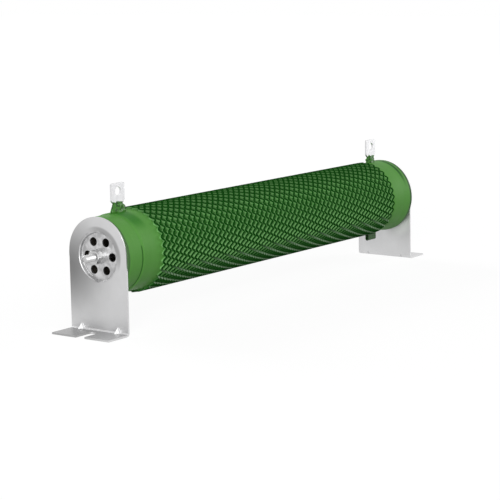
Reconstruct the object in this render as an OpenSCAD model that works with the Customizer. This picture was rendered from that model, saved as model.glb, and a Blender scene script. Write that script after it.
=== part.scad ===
// Wire-wound power resistor: a ceramic tube wound on edge with a corrugated
// resistance ribbon, clamped between two sheet-steel feet by one long tie rod.
//
// X runs along the tube, Y across it and Z up. The origin lies on the mounting
// plane under the middle of the tube. Lengths are in millimetres.

/* [Ceramic tube] */
// Outer diameter of the tube with its baked coating
tube_od = 61; // [58:0.5:64]
// Bore of the tube
tube_id = 42; // [38:0.5:46]
// Length of the tube
tube_len = 410; // [300:5:440]
// Length left unwound at each end of the tube
bare_end = 34; // [33:1:50]
// Thickness of the heat-resistant gasket at each end
gasket_t = 1.5; // [1:0.1:3]

/* [Resistance ribbon] */
// Height of the ribbon, which stands on edge on the tube
strip_h = 3.5; // [2:0.1:5]
// Thickness of the ribbon
strip_t = 0.5; // [0.3:0.05:0.8]
// Advance of the winding in one turn
coil_pitch = 8.9; // [8.2:0.1:14]
// Corrugations in one turn
waves_per_turn = 19.5; // [12:0.1:20]
// Sideways swing of the corrugations, crest to crest
wave_depth = 4.8; // [1:0.1:6]

/* [Terminal bands] */
// Width of the strap around the tube
band_w = 13; // [8:0.5:16]
// Thickness of the strap
band_t = 0.8; // [0.5:0.1:1.2]
// Distance from the end of the tube to the middle of the strap
band_pos = 22.5; // [15:0.5:23]
// Width of the bare connecting lug
lug_w = 15.5; // [12:0.5:20]
// Height of the bare connecting lug
lug_h = 16.5; // [12:0.5:24]
// Width of the neck between strap and lug
neck_w = 10; // [6:0.5:12]
// Height of the top of the neck above the tube
neck_h = 7.7; // [4:0.1:14]
// Diameter of the hole in the lug
lug_hole_d = 7; // [4:0.1:8]
// Distance from the top of the lug to the middle of its hole
lug_hole_drop = 6.5; // [5.5:0.1:7]
// Depth of the tightening fold under the tube
fold_h = 9.5; // [4:0.5:14]
// Clear width inside the tightening fold
fold_gap = 1.8; // [1:0.1:3]

/* [Mounting brackets] */
// Thickness of the bracket sheet
sheet_t = 1.5; // [1:0.1:2]
// Width of the bracket
bracket_w = 58; // [54:1:64]
// Height of the bracket
bracket_h = 91; // [86:1:110]
// Height of the tube's axis above the mounting plane
axis_z = 60; // [54:1:64]
// Length of the foot in front of the upright
foot_len = 23; // [20:1:40]
// Inside radius of the bend between foot and upright
bend_r = 1.5; // [1:0.1:2.5]
// Width of the open slot in the foot
slot_w = 9; // [5:0.5:12]
// Length of the slot from the tip of the foot
slot_len = 18; // [10:0.5:18]
// Height of the two corner gussets
gusset_h = 5; // [4:0.5:8]
// Distance of each gusset from the middle of the bracket
gusset_y = 18.5; // [12:0.5:22]
// Depth of the dish pressed into the upright
dish_depth = 3; // [2.6:0.1:4]
// Diameter of a vent hole in the dish
vent_d = 7; // [4:0.5:8]
// Number of vent holes
vent_count = 6; // [4:1:6]
// How far the locating nose stands out below the dish
nose_h = 2; // [1.5:0.5:5]

/* [Tie rod] */
// Thread diameter of the tie rod
rod_d = 6; // [4:0.5:8]
// Length of rod that stands out of each dish
rod_out = 18; // [12:1:20]
// Nut size across flats
nut_af = 10; // [8:0.5:13]
// Nut thickness
nut_h = 5; // [3:0.5:6]
// Outer diameter of the washers
washer_od = 12; // [10:0.5:14]
// Thickness of a flat or spring washer
washer_t = 1.6; // [1:0.1:2]

/* [Hidden] */

// Clearances between mating pieces
seat_gap = 0.05;    // a piece laid round the tube
thread_gap = 0.05;  // a nut round the rod
rod_gap = 0.3;      // the rod in a plain hole
dish_gap = 1;       // a dish in the end of the tube
nose_gap = 0.4;     // the nose of a dish in its notch
eps = 0.1;          // how far a cut runs past the face it opens

// Faceting of the round faces
$fn = 96;
arc_steps = 6;

coating = [0.34, 0.55, 0.27];
ribbon_green = [0.27, 0.46, 0.25];
zinc = [0.76, 0.76, 0.77];
steel = [0.83, 0.83, 0.84];
fibre = [0.28, 0.34, 0.29];

// Tube and ends
tube_r = tube_od / 2;
bore_r = tube_id / 2;
plate_x = tube_len / 2 + gasket_t;  // the face of a bracket that meets its gasket

// Ribbon
strip_in = (tube_r + seat_gap) / cos(90 / waves_per_turn);
strip_out = tube_r + strip_h;
strip_mid = (strip_in + strip_out) / 2;
half_wave = PI * strip_mid / waves_per_turn;
skew = sqrt(half_wave * half_wave + wave_depth * wave_depth) / half_wave;
wound_len = tube_len - 2 * bare_end - wave_depth - strip_t * skew;
turns = wound_len / coil_pitch;
half_waves = 2 * floor(turns * waves_per_turn) + 1;
start_angle = 200;

// Terminal bands
band_x = tube_len / 2 - band_pos;
band_in = tube_r + seat_gap;
band_out = band_in + band_t;
crease_r = 2 * band_t;
neck_top = tube_r + neck_h;
lug_taper = (lug_w - neck_w) / 2;
lug_top = neck_top + lug_h;
lug_corner = 1.5;
lug_hole_z = lug_top - lug_hole_drop;

// Gussets
v_half_angle = 30;  // between a side of the V and its middle plane

// Dish, vents and nose
dish_out = bore_r - dish_gap;
dish_in = dish_out - sheet_t;
lip_r = sheet_t;
floor_r = 0.8;
vent_land = 1.6;
vent_ring_r = dish_in - floor_r - vent_land - vent_d / 2;
arch_r = bracket_w / 2;
nose_tip = dish_in + nose_h;
nose_wall = sheet_t * nose_tip / dish_in;

// Stack of washers and nut on the floor of the dish, measured outwards
floor_x = sheet_t - dish_depth;
spring_slit = 1.2;
slit_angle = 30;
rod_chamfer = 0.8;
hole_r = rod_d / 2 + rod_gap;

// Points of an arc about c, from angle a to angle b
function arc(c, r, a, b) =
    [for (i = [0 : arc_steps]) let (t = a + (b - a) * i / arc_steps) c + r * [cos(t), sin(t)]];

// A triangle that closes a circle of radius r down to a tip, tangent on both sides
module nose_outline(r, tip) {
    touch = acos(r / tip);
    polygon([[0, -tip], [r * sin(touch), -r * cos(touch)], [0, 0], [-r * sin(touch), -r * cos(touch)]]);
}

// Lay a YZ outline on its side and give it a length along X
module along_x(length) {
    rotate([90, 0, 90]) linear_extrude(length) children();
}

// Turn a profile, drawn as [radius, x], about the tube's axis
module about_x() {
    rotate([0, 90, 0]) rotate_extrude() children();
}

// Turn a piece that is drawn for one side to the other side
module on_left() {
    mirror([1, 0, 0]) children();
}

// ---------------------------------------------------------------- Tube

// Outline of the way cut for the nose of a dish
module nose_way() {
    nose_outline(dish_out, nose_tip + nose_wall + nose_gap);
}

module nose_notch(depth) {
    translate([tube_len / 2 - depth, 0, 0]) along_x(depth + eps) nose_way();
}

module ceramic_tube() {
    notch_depth = max(dish_depth - gasket_t, eps) + nose_gap;
    color(coating) translate([0, 0, axis_z]) difference() {
        translate([-tube_len / 2, 0, 0]) along_x(tube_len) difference() {
            circle(tube_r);
            circle(bore_r);
        }
        nose_notch(notch_depth);
        on_left() nose_notch(notch_depth);
    }
}

// ---------------------------------------------------------------- Ribbon

// Middle line of the ribbon laid flat, as [distance round the tube, x]: a lead from
// the left strap, the corrugated turns, and a lead to the right strap
function swing(i) = (i % 2 == 0 ? -1 : 1) * wave_depth / 2;
function wave_point(i) = [i * half_wave,
    -wound_len / 2 + wound_len * i / half_waves + swing(i)];
lead_x = band_x - band_w / 2 - seat_gap;
ribbon_path = concat(
    [[0, -lead_x]],
    [for (i = [0 : half_waves]) wave_point(i)],
    [[half_waves * half_wave, lead_x]]);

// Half the ribbon's thickness, mitred where the path turns
function unit(v) = v / norm(v);
function side_of(p, q) = let (d = unit(q - p)) [-d[1], d[0]];
function mitre(path, i) =
    let (last = len(path) - 1,
         before = side_of(path[max(i - 1, 0)], path[max(i, 1)]),
         after = side_of(path[min(i, last - 1)], path[min(i + 1, last)]))
    (before + after) / (1 + before * after) * strip_t / 2;

// Wrap a flat point round the tube at radius r
function wrap(p, r) =
    let (a = start_angle + p[0] / strip_mid * 180 / PI) [p[1], -r * cos(a), r * sin(a)];
function section(path, i) =
    let (p = path[i], m = mitre(path, i))
    [wrap(p + m, strip_in), wrap(p + m, strip_out), wrap(p - m, strip_out), wrap(p - m, strip_in)];

module resistance_ribbon() {
    last = len(ribbon_path) - 1;
    points = [for (i = [0 : last]) each section(ribbon_path, i)];
    sides = [for (i = [0 : last - 1], k = [0 : 3], half = [0, 1])
        let (a = 4 * i + k, b = 4 * i + (k + 1) % 4)
        half == 0 ? [a, b, b + 4] : [a, b + 4, a + 4]];
    z = 4 * last;
    ends = [[0, 3, 2], [0, 2, 1], [z, z + 1, z + 2], [z, z + 2, z + 3]];
    color(ribbon_green) translate([0, 0, axis_z]) polyhedron(points, concat(sides, ends));
}

// ---------------------------------------------------------------- Terminal band

// End view of the strap: a ring round the tube, its two ends bent up together at
// the top, and a hairpin fold at the bottom that draws it tight
module strap_outline() {
    fold_r = fold_gap / 2 + band_t;
    fold_z = -(band_out + fold_h - fold_r);
    crease_z = sqrt(pow(band_out + crease_r, 2) - pow(band_t + crease_r, 2));
    difference() {
        union() {
            circle(band_out);
            // bends at the foot of the neck
            polygon([[-band_t - crease_r, 0], [band_t + crease_r, 0],
                [band_t + crease_r, crease_z], [-band_t - crease_r, crease_z]]);
            // the fold
            translate([-fold_r, fold_z]) square([2 * fold_r, -fold_z]);
            translate([0, fold_z]) circle(fold_r);
        }
        for (side = [-1, 1]) translate([side * (band_t + crease_r), crease_z]) circle(crease_r);
        circle(band_in);
        // the space inside the fold
        translate([-fold_gap / 2, fold_z]) square([fold_gap, -fold_z]);
        translate([0, fold_z]) circle(fold_gap / 2);
        // the small groove where the two ends part
        polygon([[-band_t, band_in - band_t], [band_t, band_in - band_t], [0, band_in + band_t]]);
    }
}

// Front view of the neck and lug, drawn upwards from the tube's axis
module lug_outline() {
    base_z = band_in + band_t;
    difference() {
        union() {
            polygon([[-band_w / 2, base_z], [band_w / 2, base_z], [band_w / 2, base_z + crease_r],
                [neck_w / 2, neck_top], [-neck_w / 2, neck_top], [-band_w / 2, base_z + crease_r]]);
            polygon([[-neck_w / 2, neck_top - eps], [neck_w / 2, neck_top - eps], [neck_w / 2, neck_top],
                [lug_w / 2, neck_top + lug_taper], [lug_w / 2, lug_top - lug_corner],
                [-lug_w / 2, lug_top - lug_corner], [-lug_w / 2, neck_top + lug_taper],
                [-neck_w / 2, neck_top]]);
            translate([-lug_w / 2 + lug_corner, lug_top - 2 * lug_corner])
                square([lug_w - 2 * lug_corner, 2 * lug_corner]);
            for (side = [-1, 1])
                translate([side * (lug_w / 2 - lug_corner), lug_top - lug_corner]) circle(lug_corner);
        }
        translate([0, lug_hole_z]) circle(lug_hole_d / 2);
    }
}

module terminal_band() {
    color(coating) translate([band_x, 0, axis_z]) {
        translate([-band_w / 2, 0, 0]) along_x(band_w) strap_outline();
        translate([0, band_t, 0]) rotate([90, 0, 0]) linear_extrude(2 * band_t) lug_outline();
    }
}

module left_terminal_band() { on_left() terminal_band(); }
module right_terminal_band() { terminal_band(); }

// ---------------------------------------------------------------- Gasket

module gasket() {
    color(fibre) translate([tube_len / 2, 0, axis_z]) along_x(gasket_t) difference() {
        circle(tube_r);
        circle(bore_r);
        nose_way();
    }
}

module left_gasket() { on_left() gasket(); }
module right_gasket() { gasket(); }

// ---------------------------------------------------------------- Bracket

// Upright, bend and foot of the bracket. The inner face of the upright is at x = 0,
// and the foot points towards +X
module bent_sheet() {
    bend_out = bend_r + sheet_t;
    arch_z = bracket_h - arch_r;
    along_x(sheet_t) {
        translate([-arch_r, bend_out]) square([bracket_w, arch_z - bend_out]);
        translate([0, arch_z]) circle(arch_r);
    }
    // bend
    translate([bend_out, arch_r, bend_out]) rotate([90, 0, 0]) linear_extrude(bracket_w)
        intersection() {
            difference() {
                circle(bend_out);
                circle(bend_r);
            }
            translate([-bend_out, -bend_out]) square(bend_out);
        }
    // foot
    translate([bend_out, -arch_r, 0]) cube([foot_len - bend_r, bracket_w, sheet_t]);
}

module foot_slot() {
    slot_r = slot_w / 2;
    tip = sheet_t + foot_len;
    translate([tip - slot_len + slot_r, -slot_r, -eps]) cube([slot_len, slot_w, sheet_t + 2 * eps]);
    translate([tip - slot_len + slot_r, 0, -eps]) cylinder(h = sheet_t + 2 * eps, r = slot_r);
}

// A V laid across the corner, opening towards it. Its ridge meets foot and upright
// at the given distance from the inner corner of the sheet
module corner_v(ridge, depth) {
    run = 3 * gusset_h * sqrt(2);
    half_w = depth * tan(v_half_angle);
    translate([sheet_t + ridge / 2, 0, sheet_t + ridge / 2]) rotate([0, 45, 0]) rotate([90, 0, 90])
        linear_extrude(run, center = true) polygon([[0, 0], [-half_w, -depth], [half_w, -depth]]);
}

module gussets() {
    for (side = [-1, 1]) translate([0, side * gusset_y, 0]) intersection() {
        corner_v(gusset_h, gusset_h / sqrt(2));
        translate([sheet_t / 2, -gusset_h, sheet_t / 2]) cube([2 * gusset_h, 2 * gusset_h, 2 * gusset_h]);
    }
}

module gusset_dents() {
    inner = gusset_h - sheet_t / sin(v_half_angle) * sqrt(2);
    for (side = [-1, 1]) translate([0, side * gusset_y, 0]) corner_v(inner, gusset_h + sheet_t);
}

// The dish is pressed towards the tube, that is towards -X, and its nose points down
module dish_boss() {
    depth = dish_depth;
    on_left() {
        about_x() polygon(concat([[0, 0], [dish_out, 0]],
            arc([dish_out - lip_r, depth - lip_r], lip_r, 0, 90), [[0, depth]]));
        along_x(depth) nose_outline(dish_out, nose_tip + nose_wall);
    }
}

module dish_recess() {
    depth = dish_depth;
    translate([sheet_t, 0, 0]) on_left() {
        about_x() polygon(concat([[0, -eps], [dish_in + lip_r, -eps]],
            arc([dish_in + lip_r, lip_r], lip_r, 270, 180),
            arc([dish_in - floor_r, depth - floor_r], floor_r, 0, 90), [[0, depth]]));
        translate([-eps, 0, 0]) along_x(depth + eps) nose_outline(dish_in, nose_tip);
    }
}

module bracket() {
    color(zinc) translate([plate_x, 0, 0]) difference() {
        union() {
            bent_sheet();
            gussets();
            translate([0, 0, axis_z]) dish_boss();
        }
        foot_slot();
        gusset_dents();
        translate([0, 0, axis_z]) {
            dish_recess();
            translate([-dish_depth - eps, 0, 0]) along_x(dish_depth + sheet_t + 2 * eps) {
                circle(hole_r);
                for (i = [0 : vent_count - 1]) rotate(i * 360 / vent_count)
                    translate([vent_ring_r, 0]) circle(vent_d / 2);
            }
        }
    }
}

module left_bracket() { on_left() bracket(); }
module right_bracket() { bracket(); }

// ---------------------------------------------------------------- Tie rod and fasteners

module tie_rod() {
    half = plate_x + floor_x + rod_out;
    color(steel) translate([0, 0, axis_z]) about_x() polygon([[0, -half], [rod_d / 2 - rod_chamfer, -half],
        [rod_d / 2, -half + rod_chamfer], [rod_d / 2, half - rod_chamfer],
        [rod_d / 2 - rod_chamfer, half], [0, half]]);
}

// Place a piece of the stack a given distance outside the floor of the right dish
module on_floor(out) {
    translate([plate_x + floor_x + out, 0, axis_z]) children();
}

module flat_washer() {
    color(steel) on_floor(0) along_x(washer_t) difference() {
        circle(washer_od / 2);
        circle(hole_r);
    }
}

module spring_washer() {
    color(steel) on_floor(washer_t) difference() {
        along_x(washer_t) difference() {
            circle(washer_od / 2);
            circle(hole_r);
        }
        // slanting slit at the top
        translate([washer_t / 2, 0, washer_od / 2]) rotate([0, 0, slit_angle])
            cube([3 * washer_t, spring_slit, washer_od], center = true);
    }
}

module nut() {
    corner_r = nut_af / sqrt(3);
    edge = (corner_r - nut_af / 2) * tan(30);
    color(steel) on_floor(2 * washer_t) difference() {
        intersection() {
            along_x(nut_h) circle(corner_r, $fn = 6);
            about_x() polygon([[0, 0], [nut_af / 2, 0], [corner_r, edge], [corner_r, nut_h - edge],
                [nut_af / 2, nut_h], [0, nut_h]]);
        }
        translate([-eps, 0, 0]) along_x(nut_h + 2 * eps) circle(rod_d / 2 + thread_gap);
    }
}

module left_flat_washer() { on_left() flat_washer(); }
module right_flat_washer() { flat_washer(); }
module left_spring_washer() { on_left() spring_washer(); }
module right_spring_washer() { spring_washer(); }
module left_nut() { on_left() nut(); }
module right_nut() { nut(); }

ceramic_tube();
resistance_ribbon();
left_terminal_band();
right_terminal_band();
left_gasket();
right_gasket();
left_bracket();
right_bracket();
tie_rod();
left_flat_washer();
right_flat_washer();
left_spring_washer();
right_spring_washer();
left_nut();
right_nut();
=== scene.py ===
# %% [markdown]
# # A tubular power resistor, dressed round its solids
# The real thing is a ceramic tube wound with a ribbon of resistance alloy that stands on its edge.
# The ribbon is crimped into small waves, so that air can pass between the turns. The tube, the
# ribbon and the two terminal straps are baked in a green coating, and only the tips of the lugs
# stay bare. Two sheet-steel feet hold the tube by its ends.
#
# The solids already give every piece its place and size. This lesson adds what a solid leaves
# out: the ribbon's full number of waves, the coating that rounds off the straps, the threads of
# the rod, and a finish for each surface.

import math

import bmesh
import bpy
from mathutils import Matrix, Vector, noise


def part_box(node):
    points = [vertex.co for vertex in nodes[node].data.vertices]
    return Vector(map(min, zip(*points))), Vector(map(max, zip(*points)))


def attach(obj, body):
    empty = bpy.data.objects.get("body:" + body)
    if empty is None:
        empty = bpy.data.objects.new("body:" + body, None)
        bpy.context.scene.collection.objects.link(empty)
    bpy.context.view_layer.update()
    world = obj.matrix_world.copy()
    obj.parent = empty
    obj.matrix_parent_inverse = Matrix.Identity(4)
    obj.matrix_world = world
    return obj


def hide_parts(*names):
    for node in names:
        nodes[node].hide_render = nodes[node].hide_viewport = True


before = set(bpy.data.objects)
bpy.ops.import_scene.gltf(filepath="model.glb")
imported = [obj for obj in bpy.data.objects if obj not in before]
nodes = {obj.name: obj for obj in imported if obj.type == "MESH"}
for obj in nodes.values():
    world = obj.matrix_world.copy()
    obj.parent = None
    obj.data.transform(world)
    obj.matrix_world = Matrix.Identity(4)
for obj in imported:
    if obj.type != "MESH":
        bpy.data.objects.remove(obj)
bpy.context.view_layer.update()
print("solids:", ", ".join(sorted(nodes)))

# %% [markdown]
# ## Sizes taken from the solids
# A box round a solid says where it is. Reading the sizes here, and not typing them again, keeps
# the dressing on the solids when their sizes change. A box can't show how thick a bent sheet is
# or where its gussets stand, so those two sizes are typed, as they are in the part's source.
# Every length is in metres, and MM turns millimetres into them.

# %% Read the main sizes
MM = 0.001
tube_low, tube_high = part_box("ceramic_tube")
ribbon_low, ribbon_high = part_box("resistance_ribbon")
strap_low, strap_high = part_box("right_terminal_band")
rod_low, rod_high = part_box("tie_rod")
gasket_low, gasket_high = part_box("right_gasket")
axis_z = (tube_high.z + tube_low.z) / 2
tube_r = (tube_high.z - tube_low.z) / 2
tube_end = tube_high.x
ribbon_r = (ribbon_high.y - ribbon_low.y) / 2
wound_x = ribbon_high.x
strap_r = (strap_high.y - strap_low.y) / 2
strap_x = (strap_low.x + strap_high.x) / 2
lug_top = strap_high.z - axis_z
rod_r = (rod_high.z - rod_low.z) / 2
sheet_t = 1.5 * MM
inner_face_x = tube_end + gasket_high.x - gasket_low.x
outer_face_x = inner_face_x + sheet_t
gusset_y = 18.5 * MM
print(f"tube radius {tube_r:.4f}, ribbon radius {ribbon_r:.4f}, axis height {axis_z:.4f}")

# %% [markdown]
# ## Writing nodes as sums
# A finish or a shape rule is a graph of small nodes. Placing them one by one is long to read, so
# a wire between nodes is wrapped in a class: `a * 2 + b` then adds the Math nodes for that sum.
# The same class serves the shader trees and the geometry trees.


# %% A wire that Python can calculate with
class Wire:
    """One output of a node, on which arithmetic adds Math nodes."""

    def __init__(self, tree, socket):
        self.tree = tree
        self.socket = socket

    def also(self, name):
        """Another output of the same node."""
        return Wire(self.tree, self.socket.node.outputs[name])

    def __add__(self, other):
        return self.tree.math("ADD", self, other)

    def __radd__(self, other):
        return self.tree.math("ADD", other, self)

    def __sub__(self, other):
        return self.tree.math("SUBTRACT", self, other)

    def __rsub__(self, other):
        return self.tree.math("SUBTRACT", other, self)

    def __mul__(self, other):
        return self.tree.math("MULTIPLY", self, other)

    def __rmul__(self, other):
        return self.tree.math("MULTIPLY", other, self)

    def __truediv__(self, other):
        return self.tree.math("DIVIDE", self, other)

    def __rtruediv__(self, other):
        return self.tree.math("DIVIDE", other, self)


class Tree:
    """A node tree, with one method that adds any node."""

    def __init__(self, tree):
        self.tree = tree

    def add(self, kind, settings=None, inputs=None, output=0):
        """Adds a node, sets it up, feeds its sockets, and returns one of its outputs as a wire."""
        node = self.tree.nodes.new(kind)
        for name, value in (settings or {}).items():
            setattr(node, name, value)
        for key, value in (inputs or {}).items():
            self.feed(node.inputs[key], value)
        return Wire(self, node.outputs[output]) if len(node.outputs) else node

    def feed(self, socket, value):
        """Links a wire to a socket, or sets the socket to a plain value."""
        if isinstance(value, Wire):
            self.tree.links.new(value.socket, socket)
        else:
            socket.default_value = value

    def math(self, operation, *values):
        """One Math node on one or two values."""
        return self.add("ShaderNodeMath", {"operation": operation}, dict(enumerate(values)))

    def clamp(self, value):
        """The value, held between 0 and 1."""
        return self.add("ShaderNodeClamp", None, {"Value": value})

    def step(self, value, start, end):
        """0 before start, 1 after end, and smooth between them. It also runs backwards."""
        return self.add("ShaderNodeMapRange", {"interpolation_type": "SMOOTHSTEP"},
                        {"Value": value, "From Min": start, "From Max": end})


print("node helpers ready")

# %% [markdown]
# ## Studio: floor, light and camera
# The part stands on a plain white floor in soft light from three sides. White paint that bright
# would throw light back under the part, so the floor is a darker matt surface with a glow that
# only the camera and mirrors see. It reads white, and it still takes a faint shadow. The glow
# rises away from the part, where less of the lamps' light reaches the floor.


# %% Helpers for materials
def colour(red, green, blue):
    return (red, green, blue, 1.0)


def grey(level):
    return colour(level, level, level)


def seen_directly(tree):
    """1 for rays from the camera or from a mirror-like or clear surface, 0 for the others."""
    path = tree.add("ShaderNodeLightPath", None, None, "Is Camera Ray")
    return tree.clamp(path + path.also("Is Glossy Ray") + path.also("Is Transmission Ray"))


def new_material(name):
    """An empty material and its tree."""
    material = bpy.data.materials.new(name)
    material.use_nodes = True
    material.node_tree.nodes.clear()
    return material, Tree(material.node_tree)


print("material helpers ready")

# %% Floor
FLOOR_TONE = 0.16
NEAR_GLOW, FAR_GLOW = 0.90, 0.97
GLOW_STARTS, GLOW_ENDS = 0.3, 2.5
FLOOR_HALF = 6.0
FLOOR_DROP = 0.2 * MM  # keeps the floor out of the plane of the feet
floor_material, tree = new_material("studio_floor")
matt = tree.add("ShaderNodeBsdfDiffuse", None, {"Color": grey(FLOOR_TONE)})
ground = tree.add("ShaderNodeTexCoord", None, None, "Object")
distance = tree.add("ShaderNodeVectorMath", {"operation": "LENGTH"}, {0: ground}, "Value")
level = NEAR_GLOW + tree.step(distance, GLOW_STARTS, GLOW_ENDS) * (FAR_GLOW - NEAR_GLOW)
glow = tree.add("ShaderNodeEmission", None, {"Color": grey(1.0), "Strength": seen_directly(tree) * level})
both = tree.add("ShaderNodeAddShader", None, {0: matt, 1: glow})
tree.add("ShaderNodeOutputMaterial", None, {"Surface": both})

floor_corners = [(x * FLOOR_HALF, y * FLOOR_HALF, 0) for x, y in ((-1, -1), (1, -1), (1, 1), (-1, 1))]
floor_mesh = bpy.data.meshes.new("studio_floor")
floor_mesh.from_pydata(floor_corners, [], [(0, 1, 2, 3)])
floor_mesh.materials.append(floor_material)
floor = bpy.data.objects.new("studio_floor", floor_mesh)
floor.location.z = -FLOOR_DROP
bpy.context.scene.collection.objects.link(floor)
print("floor", 2 * FLOOR_HALF, "metres wide")

# %% [markdown]
# The world is the light from everywhere else. Metal needs something to mirror, so to mirrors and
# to the camera the world is white, and to every other surface it is a soft light.

# %% World
SEEN_SKY, SOFT_SKY = 1.0, 0.24
world = bpy.data.worlds.new("studio")
world.use_nodes = True
world.node_tree.nodes.clear()
tree = Tree(world.node_tree)
white = tree.add("ShaderNodeBackground", None, {"Color": grey(1.0), "Strength": SEEN_SKY})
soft = tree.add("ShaderNodeBackground", None, {"Color": grey(1.0), "Strength": SOFT_SKY})
mix = tree.add("ShaderNodeMixShader", None, {0: seen_directly(tree), 1: soft, 2: white})
tree.add("ShaderNodeOutputWorld", None, {"Surface": mix})
bpy.context.scene.world = world
bpy.context.scene.view_settings.view_transform = "Standard"
print("world ready")

# %% [markdown]
# The key lamp stands at the left front and lights the near foot. Two weaker lamps light the right
# end and the back, and a faint one hangs above the tube. All are large, so that their light is
# soft. Each is given by its name, place, size in metres and power in watts.

# %% Lamps
LAMPS = (
    ("key", (-3.0, -2.2, 1.0), 1.6, 90.0),
    ("right_fill", (3.0, -1.8, 1.0), 1.6, 34.0),
    ("back_fill", (0.3, 3.2, 1.6), 1.6, 45.0),
    ("top", (0.0, -0.6, 2.4), 1.2, 3.0),
)
middle = Vector((0.0, 0.0, axis_z))
for name, place, size, power in LAMPS:
    data = bpy.data.lights.new(name, "AREA")
    data.shape = "SQUARE"
    data.size = size
    data.energy = power
    lamp = bpy.data.objects.new(name, data)
    lamp.location = place
    lamp.rotation_euler = (middle - Vector(place)).to_track_quat("-Z", "Y").to_euler()
    bpy.context.scene.collection.objects.link(lamp)
print(len(LAMPS), "soft lamps")

# %% [markdown]
# A long lens looks from the left front, a little above the part, so that the far end comes out
# nearly as large as the near one. The direction back to the camera comes from an azimuth and an
# elevation, and its roll is a turn about that direction.

# %% Place the camera
CAMERA_PLACE = Vector((-1.2112, -0.8896, 0.2844))
AZIMUTH = math.radians(-53.468)
ELEVATION = math.radians(9.404)
ROLL = math.radians(-0.995)
FOCAL_LENGTH, SENSOR_WIDTH = 126.54, 36.0
FARTHEST = 30.0
flat = math.cos(ELEVATION)
back = Vector((math.sin(AZIMUTH) * flat, -math.cos(AZIMUTH) * flat, math.sin(ELEVATION)))
level_right = Vector((0, 0, 1)).cross(back).normalized()
level_up = back.cross(level_right)
right = level_right * math.cos(ROLL) + level_up * math.sin(ROLL)
up = level_up * math.cos(ROLL) - level_right * math.sin(ROLL)
lens = bpy.data.cameras.new("camera")
lens.lens = FOCAL_LENGTH
lens.sensor_width = SENSOR_WIDTH
lens.clip_end = FARTHEST
camera = bpy.data.objects.new("camera", lens)
camera.matrix_world = Matrix.Translation(CAMERA_PLACE) @ Matrix((right, up, back)).transposed().to_4x4()
bpy.context.scene.collection.objects.link(camera)
bpy.context.scene.camera = camera
print("camera at", tuple(round(v, 3) for v in camera.location))

# %% [markdown]
# ## Shapes that follow a rule
# The ribbon and the threads are both a closed strip of corners swept along a rule. A grid of
# vertices is laid out flat, one row to a step along the sweep, and each vertex is then moved to
# where the rule puts it. Geometry Nodes do this in one go for tens of thousands of points.


# %% Helpers for geometry trees
def rule_tree(name, sizes):
    """A geometry tree with a named number for each size, and its inputs as wires."""
    group = bpy.data.node_groups.new(name, "GeometryNodeTree")
    group.interface.new_socket("Geometry", in_out="OUTPUT", socket_type="NodeSocketGeometry")
    for label in sizes:
        kind = "NodeSocketInt" if isinstance(sizes[label], int) else "NodeSocketFloat"
        group.interface.new_socket(label, in_out="INPUT", socket_type=kind)
    group.interface.new_socket("Finish", in_out="INPUT", socket_type="NodeSocketMaterial")
    tree = Tree(group)
    start = group.nodes.new("NodeGroupInput")
    inputs = {label: Wire(tree, start.outputs[label]) for label in (*sizes, "Finish")}
    return tree, inputs


print("rule helper ready")


# %% Helpers for a sweep
SEAM_DISTANCE = 0.002 * MM


def sweep_grid(tree, steps, corners):
    """A grid with a row of vertices for each step, each vertex's step and corner, and the last step."""
    last = steps - 1
    grid = tree.add("GeometryNodeMeshGrid", None, {"Size X": last, "Vertices X": steps,
                                                   "Size Y": float(corners), "Vertices Y": corners + 1})
    place = tree.add("ShaderNodeSeparateXYZ", None, {0: tree.add("GeometryNodeInputPosition")})
    step = tree.math("ROUND", place + last / 2)
    corner = tree.math("ROUND", place.also("Y") + corners / 2)
    return grid, step, corner, last


def pointed(tree, step, last):
    """0 on the first and the last step, which draws the sweep's ends to a point, and 1 between."""
    return tree.math("MINIMUM", 1.0, tree.math("MINIMUM", step, last - step))


def close_sweep(tree, grid, x, radius, angle, size, smooth):
    """Moves the grid's vertices to x, radius and angle about the axis, and closes the seam."""
    y = -1 * radius * tree.math("COSINE", angle)
    z = radius * tree.math("SINE", angle) + size["Axis height"]
    place = tree.add("ShaderNodeCombineXYZ", None, {0: x, 1: y, 2: z})
    moved = tree.add("GeometryNodeSetPosition", None, {"Geometry": grid, "Position": place})
    closed = tree.add("GeometryNodeMergeByDistance", None, {"Geometry": moved, "Distance": SEAM_DISTANCE})
    shaded = tree.add("GeometryNodeSetShadeSmooth", None, {"Geometry": closed, "Shade Smooth": smooth})
    real = tree.add("GeometryNodeRealizeInstances", None, {"Geometry": shaded})
    painted = tree.add("GeometryNodeSetMaterial", None, {"Geometry": real, "Material": size["Finish"]})
    tree.add("NodeGroupOutput", None, {0: painted})


print("sweep helpers ready")


# %% Helpers that keep a piece
def grow(name, tree, sizes, finish):
    """Runs a geometry tree once and keeps what it makes as a plain mesh object."""
    scaffold = bpy.data.objects.new(name + "_scaffold", bpy.data.meshes.new(name + "_scaffold"))
    bpy.context.scene.collection.objects.link(scaffold)
    modifier = scaffold.modifiers.new(name, "NODES")
    modifier.node_group = tree.tree
    for item in tree.tree.interface.items_tree:
        if item.in_out == "INPUT":
            modifier[item.identifier] = finish if item.name == "Finish" else sizes[item.name]
    depsgraph = bpy.context.evaluated_depsgraph_get()
    mesh = bpy.data.meshes.new_from_object(scaffold.evaluated_get(depsgraph))
    bpy.data.objects.remove(scaffold)
    return keep_piece(name, mesh)


def keep_piece(name, mesh):
    """Turns a mesh's faces outward, and puts it in the scene under its name."""
    shape = bmesh.new()
    shape.from_mesh(mesh)
    if shape.calc_volume(signed=True) < 0:
        bmesh.ops.reverse_faces(shape, faces=shape.faces)
        shape.to_mesh(mesh)
    open_edges = sum(1 for edge in shape.edges if not edge.is_manifold)
    shape.free()
    mesh.name = name
    piece = bpy.data.objects.new(name, mesh)
    bpy.context.scene.collection.objects.link(piece)
    print(f"{name}: {sum(len(p.vertices) - 2 for p in mesh.polygons)} triangles, {open_edges} open edges")
    return piece


print("piece helpers ready")

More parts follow.
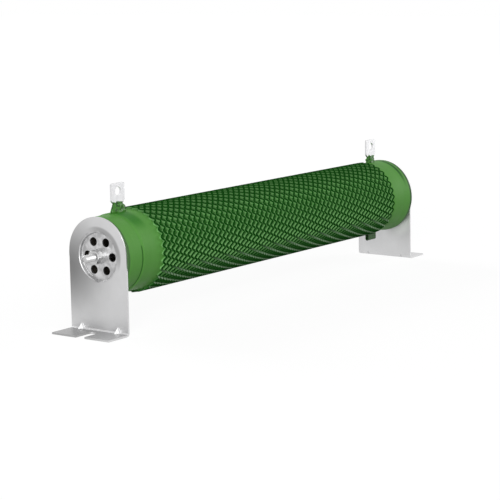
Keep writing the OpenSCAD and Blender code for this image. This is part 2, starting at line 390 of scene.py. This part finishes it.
# %% [markdown]
# ## Green coating
# The coating is a dull green enamel, brushed or dipped on and then baked. It drifts a little
# between a lighter and a darker green, it is speckled, and it carries faint rings from being
# turned as it was brushed. The three green finishes share one recipe and differ in their tones.
#
# Every finish asks where a point lies on the part, so a small class gives that as wires. A finish
# is then a base with masked colours laid over it, on one Principled surface.


# %% Where a point lies
class Place:
    """Wires for a point's place: its coordinates, its height over the axis and its distance from it."""

    def __init__(self, tree):
        self.point = tree.add("ShaderNodeTexCoord", None, None, "Object")
        self.x = tree.add("ShaderNodeSeparateXYZ", None, {0: self.point})
        self.y = self.x.also("Y")
        self.height = self.x.also("Z") - axis_z
        self.radius = tree.math("SQRT", self.y * self.y + self.height * self.height)

    def angle(self, tree):
        """Degrees up from the tube's front, so 0 is the front, 90 the top and -90 the bottom."""
        return tree.math("ARCTAN2", self.height, -1 * self.y) * (180 / math.pi)


print("place helper ready")


# %% Helpers for masks and colours
def band(tree, value, low, high, soft):
    """1 between low and high, fading to 0 over soft on each side."""
    return tree.step(value, low - soft, low) * tree.step(value, high + soft, high)


def cloud(tree, at, scale, detail=3.0, stretch=(1, 1, 1)):
    """Soft noise from 0 to 1 round 0.5. Its scale is in lumps to the metre."""
    stretched = tree.add("ShaderNodeMapping", None, {"Vector": at.point, "Scale": stretch})
    return tree.add("ShaderNodeTexNoise", None, {"Vector": stretched, "Scale": scale, "Detail": detail})


def blend(tree, amount, first, second):
    """A colour between first and second."""
    return tree.add("ShaderNodeMix", {"data_type": "RGBA"}, {0: amount, 6: first, 7: second}, 2)


def paint(tree, base, layers):
    """Lays colours over a base one by one. Each layer is a mask, its strength and its colour."""
    for mask, strength, tint in layers:
        base = blend(tree, mask * strength, base, tint)
    return base


print("colour helpers ready")


# %% Helpers for a whole finish
def close_finish(tree, base, inputs, bumps=None, strength=0.3, depth=0.2 * MM):
    """Puts the colour, the other inputs and the bumps on a Principled surface, and ends the tree."""
    sockets = {"Base Color": base, **inputs}
    if bumps:
        sockets["Normal"] = tree.add("ShaderNodeBump", None,
                                     {"Strength": strength, "Distance": depth, "Height": bumps})
    surface = tree.add("ShaderNodeBsdfPrincipled", None, sockets)
    tree.add("ShaderNodeOutputMaterial", None, {"Surface": surface})


def coating(tree, at, light, dark, speckle):
    """The coating's colour, between light and dark, and a height for its bumps."""
    drift = cloud(tree, at, 22.0) - 0.5
    grain = cloud(tree, at, 900.0, 2.0)
    rings = cloud(tree, at, 260.0, 2.0, (1.0, 0.12, 0.12))  # drawn out round the tube
    tone = tree.clamp(0.5 + drift * 0.9 + (grain - 0.5) * speckle + (rings - 0.5) * 0.5)
    return blend(tree, tone, dark, light), grain + rings * 2.0


print("finish helpers ready")

# %% [markdown]
# The tube's coating is painted darker as shade where little light gets in: between the turns,
# round the foot of the left lug, in a crease beside the left strap, above the rim at the right end
# and over the rim itself. The bare ceramic inside is painted nearly black as shade, because hardly
# any light reaches it through the vents.

# %% Coated tube
tube_finish, tree = new_material("coated_tube")
at = Place(tree)
angle = at.angle(tree)
green, bumps = coating(tree, at, colour(0.138, 0.385, 0.082), colour(0.104, 0.315, 0.062), 0.5)
# Painted shade: each mask below darkens the coat where shade falls, and the ceramic inside is painted dark as
# shade.
winding_shade_zone = band(tree, at.x, -wound_x + 3 * MM, wound_x - 3 * MM, 0.6 * MM)
on_tube = tree.step(at.radius, tube_r + 0.35 * MM, tube_r + 0.15 * MM)
lug_foot_shade = band(tree, at.x, -strap_x - 3 * MM, -strap_x + 3 * MM, 7 * MM)
crease = band(tree, at.x, -strap_x - 8.3 * MM, -strap_x - 7.7 * MM, 0.5 * MM)
shade_above_rim = band(tree, at.x, tube_end - 9.4 * MM, tube_end - 8.4 * MM, 2.0 * MM)
rim = tree.step(at.x, tube_end - 5.8 * MM, tube_end - 4.6 * MM)
inside = tree.step(at.radius, tube_r * 0.93, tube_r * 0.90)
ceramic_in_shade = blend(tree, cloud(tree, at, 300.0), colour(0.060, 0.054, 0.043), colour(0.085, 0.078, 0.064))
base = paint(tree, green, (
    (winding_shade_zone * on_tube, 1.0, colour(0.060, 0.220, 0.040)),
    (lug_foot_shade * band(tree, angle, 58.0, 90.0, 24.0), 0.9, colour(0.036, 0.215, 0.018)),
    (crease * band(tree, angle, -50.0, 14.0, 4.0), 0.75, colour(0.015, 0.085, 0.010)),
    (shade_above_rim * tree.step(at.height, 8 * MM, 26 * MM), 0.9, colour(0.022, 0.100, 0.022)),
    (rim, 0.9, colour(0.050, 0.100, 0.046)),
    (inside, 1.0, ceramic_in_shade),
))
close_finish(tree, base, {"Roughness": 0.48 + inside * 0.35, "Specular IOR Level": 0.07}, bumps)
print("tube finish ready")

# %% [markdown]
# ## The ribbon's sizes and finish
# The turns and waves are counted on the real winding. The steps are the mesh's own: eight to a
# wave keep it round enough at the size of a wave.
#
# The ribbon's flanks carry the same enamel as the tube. It is painted brighter here, as painted
# light against the shade that the turns cast on each other, and painted darker as shade towards the
# tube's top and underside, where they shade each other most, and at the root. The outer edge is
# almost black, because enamel runs off a sharp edge, and only on the underside are the slopes that
# face the floor painted pale, as a painted reflection of the floor's light. Which slope of a wave a
# point lies on follows from the ribbon's own rule: its place along the tube and round it gives the
# turn, and the turn gives the wave. So the sizes come first.

# %% The ribbon's sizes
ribbon_sizes = {
    "Turns": 67.2,
    "Pitch": 5.09 * MM,
    "Waves per turn": 33.3,
    "Steps per wave": 8,
    "Swing": 3.4 * MM,
    "Thickness": 1.3 * MM,
    "Root radius": tube_r - 0.1 * MM,
    "Edge radius": ribbon_r,
    "Start angle": math.radians(200.0),
    "First x": -169.0 * MM,
    "Axis height": axis_z,
}
last_x = ribbon_sizes["First x"] + ribbon_sizes["Turns"] * ribbon_sizes["Pitch"]
print(f"{ribbon_sizes['Turns']} turns of {ribbon_sizes['Waves per turn']} waves")

# %% Coated ribbon
ribbon_finish, tree = new_material("coated_ribbon")
at = Place(tree)
green, bumps = coating(tree, at, colour(0.290, 0.610, 0.225), colour(0.205, 0.490, 0.160), 1.0)
# Painted shade: the root, and the flanks towards the top and underside, are darkened.
root = tree.step(at.radius, tube_r + 2.2 * MM, tube_r + 0.5 * MM)
edge = tree.step(at.radius, ribbon_r - 0.60 * MM, ribbon_r - 0.40 * MM)
below = tree.step(at.height, -11 * MM, -23 * MM)
above = tree.step(at.height, 20 * MM, 33 * MM)
swept = (at.angle(tree) - math.degrees(ribbon_sizes["Start angle"])) / 360
climbed = (at.x - ribbon_sizes["First x"]) / ribbon_sizes["Pitch"]
turn = tree.math("ROUND", climbed - swept) + swept
slope = tree.math("COSINE", turn * (2 * math.pi * ribbon_sizes["Waves per turn"]))
front_or_back = 1 - 2 * tree.step(at.y, -2 * MM, 2 * MM)  # 1 in front, -1 behind
facing_down = tree.step(slope * front_or_back, 0.2, -0.3)
# Painted reflection: below the middle, the edge's floor-facing slopes are painted pale; elsewhere the edge is
# dark.
dark_edge_and_floor_reflection = blend(tree, below * facing_down, colour(0.009, 0.080, 0.008), colour(0.420, 0.660, 0.390))
base = paint(tree, green, (
    (tree.clamp(below * 0.9 + above * 0.56), 1.0, colour(0.016, 0.095, 0.013)),
    (root, 0.4, colour(0.004, 0.060, 0.004)),
    (edge, 1.0, dark_edge_and_floor_reflection),
))
close_finish(tree, base, {"Roughness": 0.6, "Specular IOR Level": 0.0}, bumps, 0.2, 0.1 * MM)
print("ribbon finish ready")

# %% [markdown]
# The straps lie under the coating, so their green shows only at the folds and the lugs' necks. It
# is glossier there, with dark pools in the necks and a dark fold. The coating ends in a ragged
# line on each lug, and the tinned tip above it is bare. One material covers both, with a mask at
# the ragged line, because strap and lug are one solid.

# %% Coated strap with a bare lug
strap_finish, tree = new_material("coated_strap")
at = Place(tree)
green, bumps = coating(tree, at, colour(0.085, 0.270, 0.045), colour(0.040, 0.160, 0.022), 0.8)
in_neck = tree.step(at.height, strap_r, strap_r + 3 * MM)
pools = tree.step(cloud(tree, at, 420.0, 2.0), 0.50, 0.60) * in_neck
in_fold = tree.step(at.height, -strap_r, -strap_r - 1 * MM)
fold_end = in_fold * tree.step(tree.math("ABSOLUTE", at.x), strap_x - 6.2 * MM, strap_x - 6.4 * MM)
ragged = (cloud(tree, at, 380.0, 2.0) - 0.5) * (5 * MM) + at.height
bare = tree.step(ragged, lug_top - 15.4 * MM, lug_top - 14.9 * MM)
tin = blend(tree, cloud(tree, at, 500.0), colour(0.62, 0.62, 0.63), colour(0.78, 0.78, 0.79))
base = paint(tree, green, (
    (tree.clamp(pools * 0.85 + in_fold * 0.5 + fold_end), 1.0, colour(0.006, 0.040, 0.005)),
    (bare, 1.0, tin),
))
close_finish(tree, base, {"Roughness": 0.36 - bare * 0.04, "Metallic": bare,
                          "Specular IOR Level": 0.25}, bumps)
print("strap finish ready")

# %% [markdown]
# ## Metal and gasket
# The feet are plain zinc-plated sheet: dull and a little cloudy, with one cheek painted darker as
# a dark reflection, which is painted shade. The rod, the nuts and the washers are the same metal, a
# little darker. The gaskets are a dark green fibre board.
#
# What the feet mirror depends on the room round them. The metal function therefore takes a second
# one, which paints the light and shade that a plain studio shows in the sheet: painted shade on the
# left cheek, on the lips and floors of the dishes and on the left foot, painted light and shade on
# the far wall of the left dish, painted light on the right foot's inner face, and painted highlights
# on the gussets.


# %% A metal
def metal(name, dark, light, bumpiness, marks=None):
    """A clouded metal with fine grain. marks paints light and shade over the clouds."""
    material, tree = new_material(name)
    at = Place(tree)
    clouds = cloud(tree, at, 60.0, 4.0)
    grain = cloud(tree, at, 1400.0, 2.0)
    tone = tree.clamp((clouds - 0.5) * 1.2 + (grain - 0.5) * 0.5 + 0.5)
    base = blend(tree, tone, dark, light)
    if marks:
        base = paint(tree, base, marks(tree, at))
    close_finish(tree, base, {"Roughness": 0.42 + (grain - 0.5) * 0.15, "Metallic": 1.0},
                 grain, bumpiness, 0.1 * MM)
    return material


print("metal recipe ready")


# %% Painted light and shade on the sheet
def shade_marks(tree, at):
    """Painted shade on the left upright's outer cheek, in the dishes and on the left foot, and painted light
    and shade on the far wall of the left dish.
    """
    outer_face = tree.step(at.x, -outer_face_x + 0.3 * MM, -outer_face_x + 0.1 * MM)
    across = (at.y - 30 * MM) / (56 * MM)
    upward = (at.height + 9 * MM) / (54 * MM)
    # Painted shade: a dark reflection on the left upright's outer cheek.
    cheek = tree.step(tree.math("SQRT", across * across + upward * upward), 1.0, 0.0) * outer_face
    # Painted shade on the dishes' lips and mottled floors, and on the top of the left foot.
    lip = band(tree, at.radius, 20.8 * MM, 22.2 * MM, 2.0 * MM) * tree.step(at.height - at.y, 6 * MM, 26 * MM)
    mottled_shade = tree.step(cloud(tree, at, 230.0), 0.35, 0.65)
    dish_floor = tree.step(at.radius, 21 * MM, 19.5 * MM) * mottled_shade
    foot_top = tree.step(at.x, -tube_end - 3.4 * MM, -tube_end - 6 * MM) * tree.step(at.y, -42 * MM, 10 * MM)
    left_end = tree.step(at.x, 0.0, -100 * MM)
    around_dish = tree.step(at.radius, 18.0 * MM, 20.0 * MM)
    # Painted light and shade on the far wall of the left dish, round its lip.
    far_wall = around_dish * tree.step(at.y, 0.0, 12 * MM) * left_end * (1 - outer_face)
    wall_light_and_shade = blend(tree, tree.step(at.radius, 20.8 * MM, 21.4 * MM), grey(0.60), grey(0.27))
    return (
        (cheek, 0.95, grey(0.19)),
        (tree.clamp(lip * 0.7 + dish_floor * 0.55 + foot_top * 0.62), 1.0, grey(0.25)),
        (far_wall, 0.8, wall_light_and_shade),
    )


def lifted_shadow_marks(tree, at):
    """Painted light on the right upright's inner face, in front of the tube, lifting the shadow that the
    tube's end casts there.
    """
    right_end = tree.step(at.x, 0.0, 100 * MM)
    inner_face = tree.step(at.x, inner_face_x + 0.5 * MM, inner_face_x + 0.2 * MM) * right_end
    beside_tube = tree.step(at.radius, 46 * MM, 34 * MM) * tree.step(at.y, -4 * MM, -22 * MM)
    # Painted light, lifting the shadow that the tube's end casts on this face.
    return ((inner_face * beside_tube, 1.0, grey(0.95)),)


def gusset_marks(tree, at):
    """The gussets of both feet, just over the floor and outside the uprights, catch the light."""
    off_middle = tree.math("ABSOLUTE", tree.math("ABSOLUTE", at.y) - gusset_y)
    over_floor = at.height + axis_z
    above_foot = tree.step(over_floor, 1.7 * MM, 2.2 * MM) * tree.step(over_floor, 8.5 * MM, 8.0 * MM)
    outside = tree.step(tree.math("ABSOLUTE", at.x), tube_end + 3.2 * MM, tube_end + 3.6 * MM)
    return ((tree.step(off_middle, 4.5 * MM, 3.5 * MM) * above_foot * outside, 1.0, grey(0.90)),)


def sheet_marks(tree, at):
    """All of the sheet's tones, in the order in which they are laid on."""
    return shade_marks(tree, at) + lifted_shadow_marks(tree, at) + gusset_marks(tree, at)


print("sheet marks ready")

# %% Metal finishes
sheet_finish = metal("bracket_sheet", colour(0.56, 0.56, 0.565), colour(0.66, 0.66, 0.665), 0.15, sheet_marks)
steel_finish = metal("fastener_steel", grey(0.46), grey(0.62), 0.1)
print("metal finishes ready")

# %% Gasket finish
gasket_finish, tree = new_material("gasket_fibre")
fibres = cloud(tree, Place(tree), 900.0, 3.0, (0.2, 1.0, 1.0))
base = blend(tree, fibres, colour(0.065, 0.150, 0.050), colour(0.100, 0.220, 0.075))
close_finish(tree, base, {"Roughness": 0.8, "Specular IOR Level": 0.2})
print("gasket finish ready")

# %% Give each solid its finish
solid_finishes = {"ceramic_tube": tube_finish}
for side in ("left", "right"):
    solid_finishes[side + "_terminal_band"] = strap_finish
    solid_finishes[side + "_gasket"] = gasket_finish
    solid_finishes[side + "_bracket"] = sheet_finish
    for fastener in ("_flat_washer", "_spring_washer", "_nut"):
        solid_finishes[side + fastener] = steel_finish
for name, finish in solid_finishes.items():
    nodes[name].data.materials.clear()
    nodes[name].data.materials.append(finish)
print(len(solid_finishes), "solids finished")

# %% [markdown]
# ## Resistance ribbon
# The ribbon stands on edge on the tube and climbs it as a helix. Each wave swings it a little
# along the tube. Its flat section has four corners: two at the root and two at the outer edge.
# The section is set square to the wave, so the ribbon keeps its thickness on the slopes. At each
# end the section shrinks to a point, which closes the ribbon. A hand-made mesh of this size would
# be slow to change, so Geometry Nodes lay it out from the sizes above.

# %% The ribbon's rule
tree, size = rule_tree("crimped_ribbon", ribbon_sizes)
steps_per_turn = size["Waves per turn"] * size["Steps per wave"]
steps = tree.math("FLOOR", size["Turns"] * steps_per_turn) + 3
grid, step, corner, last = sweep_grid(tree, steps, 4)
open_end = pointed(tree, step, last)
ribbon_step = tree.math("MINIMUM", tree.math("MAXIMUM", step, 1.0), last - 1) - 1
turn = ribbon_step / steps_per_turn
wave = ribbon_step / size["Steps per wave"] * (2 * math.pi)
middle_r = (size["Root radius"] + size["Edge radius"]) / 2
middle_x = size["First x"] + turn * size["Pitch"] + tree.math("SINE", wave) * size["Swing"] / 2
wave_slope = tree.math("COSINE", wave) * size["Swing"] * size["Waves per turn"] / 2
slope = (size["Pitch"] / (2 * math.pi) + wave_slope) / middle_r
outer = tree.math("LESS_THAN", tree.math("ABSOLUTE", corner - 1.5), 1.0)
far_side = tree.math("LESS_THAN", tree.math("ABSOLUTE", corner - 2.5), 1.0)
offset = (1 - far_side * 2) * open_end * size["Thickness"] / 2 / tree.math("SQRT", 1 + slope * slope)
swept_r = middle_r + (outer - 0.5) * (size["Edge radius"] - size["Root radius"]) * open_end
swept_angle = size["Start angle"] + turn * (2 * math.pi) - offset * slope / middle_r
close_sweep(tree, grid, middle_x + offset, swept_r, swept_angle, size, False)
print("ribbon rule ready")

# %% Grow the ribbon
ribbon = grow("crimped_ribbon", tree, ribbon_sizes, ribbon_finish)
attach(ribbon, "root")
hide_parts("resistance_ribbon")

# %% [markdown]
# ## Coating over the ends
# Between the winding and each foot the coating lies over the tube and the strap in one skin. It
# rounds off the strap's edges, and at the right end it has sagged into a thick rim, as enamel
# does when a tube is hung up to dry. A skin like that is a shape turned on a lathe, so each one is
# a closed profile turned about the axis, with a little noise to make it uneven.


# %% Helpers for turned skins
def revolve(name, profile, segments, unevenness, finish):
    """A closed loop of (x, radius) corners turned about the tube's axis, a little uneven outside."""
    noise_along, noise_round = 60, 1.2  # how fast the noise changes per metre, and round the tube
    vertices, faces = [], []
    for index in range(segments):
        turn = 2 * math.pi * index / segments
        y, z = -math.cos(turn), math.sin(turn)
        for x, radius in profile:
            if radius > tube_r:
                sample = Vector((x * noise_along, y * noise_round, z * noise_round))
                radius += (noise.noise(sample) - 0.5) * unevenness
            vertices.append((x, y * radius, z * radius + axis_z))
    count = len(profile)
    for index in range(segments):
        here, there = index * count, (index + 1) % segments * count
        for corner in range(count):
            after = (corner + 1) % count
            faces.append((here + corner, here + after, there + after, there + corner))
    mesh = bpy.data.meshes.new(name)
    mesh.from_pydata(vertices, [], faces)
    return smooth_piece(name, mesh, finish)


def smooth_piece(name, mesh, finish):
    """Keeps a mesh as a piece with smooth faces and one finish."""
    mesh.materials.append(finish)
    for polygon in mesh.polygons:
        polygon.use_smooth = True
    return keep_piece(name, mesh)


def smooth_profile(points, spacing):
    """Points of (x, radius) joined by soft waves, with corners every spacing along the tube."""
    profile = []
    for (x0, r0), (x1, r1) in zip(points, points[1:]):
        pieces = max(1, round(abs(x1 - x0) / spacing))
        for piece in range(pieces):
            share = piece / pieces
            soft_share = share * share * (3 - 2 * share)
            profile.append((x0 + (x1 - x0) * share, r0 + (r1 - r0) * soft_share))
    return profile + [points[-1]]


print("skin helpers ready")

# %% Coat both ends
TUCKED_UNDER = 3.4 * MM  # how far the skin reaches under the last turn
UNEVENNESS = 0.3 * MM
SEGMENTS = 160
hump = strap_r + 0.35 * MM
skin = tube_r + 0.35 * MM
buried = tube_r - 0.8 * MM  # the inner side of the skin, out of sight in the tube
strap_edge = 6.5 * MM  # half the width of a strap
tube_edge = (tube_end - 0.2 * MM, tube_r - 0.1 * MM)


def over_strap(wound_to, swell):
    """Profile from under the outer turn of the winding to the far side of the strap."""
    inner_edge = wound_to - TUCKED_UNDER
    return [
        (inner_edge, tube_r - 0.2 * MM),
        (inner_edge + 0.8 * MM, hump + 0.6 * MM),
        (strap_x - strap_edge, hump + swell),
        (strap_x + strap_edge, hump + swell),
    ]


thin_end = [(strap_x + strap_edge + 1.6 * MM, skin), (tube_end - 2.0 * MM, skin), tube_edge]
sagged_rim = [(tube_end - 4.0 * MM, tube_r + 3.2 * MM), (tube_end - 2.2 * MM, tube_r + 3.0 * MM), tube_edge]
left_end = over_strap(-ribbon_sizes["First x"], 0.0) + thin_end
right_end = over_strap(last_x, 1.2 * MM) + sagged_rim
for name, side, points in (("left_end_coat", -1, left_end), ("right_end_coat", 1, right_end)):
    loop = smooth_profile(points, 0.5 * MM) + [(points[-1][0], buried), (points[0][0], buried)]
    coat = revolve(name, [(side * x, radius) for x, radius in loop], SEGMENTS, UNEVENNESS, tube_finish)
    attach(coat, "root")

# %% [markdown]
# The foot of each lug sits in a lump of enamel, where the dipped coating has run down the neck. A
# ball is stretched to the lump's size and pushed in and out by noise. The left lump is the wider.

# %% Lumps of enamel at the lugs
HALF_WIDTHS = {"left_neck_coat": 8.2, "right_neck_coat": 6.4}  # these three in millimetres
HALF_DEPTH, HALF_HEIGHT = 2.5, 5.2
LUMPINESS, LUMPS = 0.35, 1.7  # how deep the noise pushes, and how often across the ball
OVER_STRAP = 2.6 * MM
for name, side in (("left_neck_coat", -1), ("right_neck_coat", 1)):
    shape = bmesh.new()
    bmesh.ops.create_icosphere(shape, subdivisions=5, radius=1.0)
    middle = Vector((side * strap_x, 0, axis_z + strap_r + OVER_STRAP))
    stretch = Vector((HALF_WIDTHS[name], HALF_DEPTH, HALF_HEIGHT))
    other_lumps = Vector((side * 3.0, 0, 0))
    for vertex in shape.verts:
        bump = 1.0 + LUMPINESS * noise.noise(vertex.co * LUMPS + other_lumps)
        vertex.co = vertex.co * stretch * (MM * bump) + middle
    mesh = bpy.data.meshes.new(name)
    shape.to_mesh(mesh)
    shape.free()
    lump = smooth_piece(name, mesh, strap_finish)
    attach(lump, "root")

# %% [markdown]
# ## Threaded rod
# The rod is one length of studding with a plain shank between its threaded ends. The thread is a
# ridge that climbs round the rod: the radius depends on how far along the pitch a corner lies
# once its turn has been taken off. That is a rule too, so the sweep that made the ribbon makes it.

# %% The rod's sizes
rod_sizes = {
    "Half length": rod_high.x,
    "Thread length": 22.0 * MM,
    "Pitch": 1.0 * MM,
    "Steps per pitch": 8,
    "Crest radius": rod_r - 0.01 * MM,
    "Thread depth": 0.55 * MM,
    "Chamfer": 0.8 * MM,
    "Axis height": axis_z,
}
print(f"rod {2 * rod_high.x:.3f} long, radius {rod_r:.4f}")

# %% The rod's rule
AROUND = 40
WHOLE_PITCHES = 1000.0  # more than half the rod holds, so that FRACT is given nothing negative
RIDGE_GAIN, RIDGE_SHIFT = 1.25, 0.1  # flatten the thread's crest and root
tree, size = rule_tree("threaded_rod", rod_sizes)
step_length = size["Pitch"] / size["Steps per pitch"]
end_steps = tree.math("ROUND", size["Thread length"] / step_length)
steps = end_steps * 2 + 4
grid, step, corner, last = sweep_grid(tree, steps, AROUND)
from_left = tree.math("MAXIMUM", step - 1, 0.0) * step_length - size["Half length"]
from_right = size["Half length"] - tree.math("MAXIMUM", last - step - 1, 0.0) * step_length
on_left = tree.math("LESS_THAN", step, last / 2)
x = from_right + (from_left - from_right) * on_left
angle = corner * (2 * math.pi / AROUND)
climb = tree.math("FRACT", x / size["Pitch"] - angle / (2 * math.pi) + WHOLE_PITCHES)
ridge = tree.clamp(tree.math("ABSOLUTE", climb * 2 - 1) * RIDGE_GAIN - RIDGE_SHIFT)
into_end = size["Half length"] - tree.math("ABSOLUTE", x)
taper = tree.clamp(1 - into_end / size["Chamfer"]) * size["Thread depth"]
shank_starts = size["Thread length"] - 2 * size["Pitch"]
shank = tree.step(into_end, shank_starts, shank_starts + size["Pitch"])
thread_r = size["Crest radius"] - (1 - ridge) * size["Thread depth"]
below_taper = tree.math("MINIMUM", thread_r, size["Crest radius"] - taper)
radius = below_taper + (size["Crest radius"] - below_taper) * shank
close_sweep(tree, grid, x, radius * pointed(tree, step, last), angle, size, True)
print("rod rule ready")

# %% Grow the rod
rod = grow("threaded_rod", tree, rod_sizes, steel_finish)
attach(rod, "root")
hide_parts("tie_rod")
